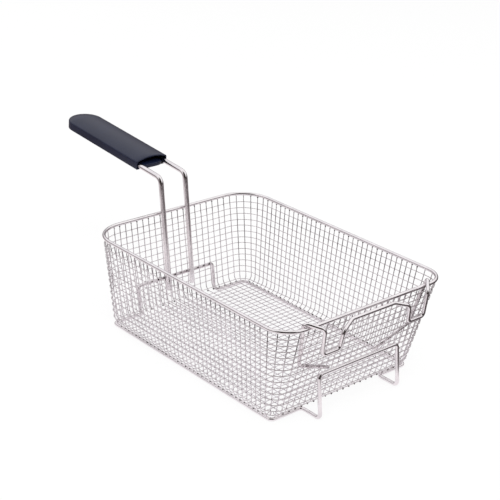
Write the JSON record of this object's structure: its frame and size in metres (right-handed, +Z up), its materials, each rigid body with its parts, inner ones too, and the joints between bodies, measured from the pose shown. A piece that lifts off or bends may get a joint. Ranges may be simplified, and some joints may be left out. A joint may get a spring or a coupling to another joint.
{
  "type": "deep fryer basket",
  "caption": "Tapered rectangular basket of woven wire mesh on a bent wire frame, with a rim wire, a front hook with loops and a long raised handle with a moulded grip.",
  "frame": {"origin": "on the table, level with the lowest wires; X = 0 is the middle of the width and Y = 0 the middle of the rim's length", "axes": "+X across the width, +Y towards the handle, -Y towards the hook, +Z up"},
  "size_m": [0.1872, 0.4308, 0.1465],
  "materials": {
    "mesh": "bright nickel-plated steel wire",
    "frame_wire": "bright nickel-plated steel wire",
    "grip": "semi-gloss dark moulded plastic"
  },
  "bodies": {
    "root": {"mesh_basket": "mesh", "rim_wire": "frame_wire", "base_frame_wire": "frame_wire", "front_hook_wire": "frame_wire", "handle_wire": "frame_wire", "grip": "grip"}
  },
  "joints": []
}
